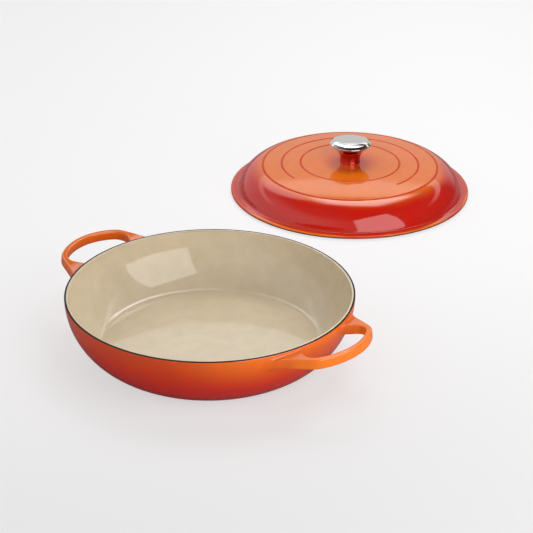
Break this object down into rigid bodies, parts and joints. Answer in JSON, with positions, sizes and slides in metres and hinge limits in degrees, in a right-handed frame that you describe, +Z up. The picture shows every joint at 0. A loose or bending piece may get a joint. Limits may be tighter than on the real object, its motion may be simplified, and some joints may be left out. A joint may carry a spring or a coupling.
{
  "type": "braiser",
  "caption": "Shallow round enamelled iron braiser with two cast loop handles, and a domed lid with a steel knob lying beside it.",
  "frame": {"origin": "centre of the pan's flat base, on the surface that it stands on", "axes": "+Z up along the pan's axis, +X through the middle of one loop handle; the lid lies at -X, +Y"},
  "size_m": [0.5243, 0.785, 0.0755],
  "materials": {
    "outside_enamel": "glossy orange to red enamel on cast iron",
    "inside_enamel": "glossy sand enamel",
    "rim_enamel": "matt black enamel",
    "polished_steel": "polished stainless steel",
    "plain_steel": "plain stainless steel"
  },
  "bodies": {
    "pan": {"pan_casting": "outside_enamel", "pan_interior_enamel": "inside_enamel", "pan_rim_coat": "rim_enamel"},
    "lid": {"lid_casting": "outside_enamel", "lid_interior_enamel": "inside_enamel", "lid_rim_coat": "rim_enamel", "knob_cap": "polished_steel", "knob_stem": "polished_steel", "knob_insert": "plain_steel", "knob_screw": "plain_steel", "knob_washer": "plain_steel"}
  },
  "joints": [
    {"name": "lid_lift", "type": "slide", "parent": "pan", "child": "lid", "axis": [0, 0, 1], "range_m": [0, 0.2]}
  ]
}
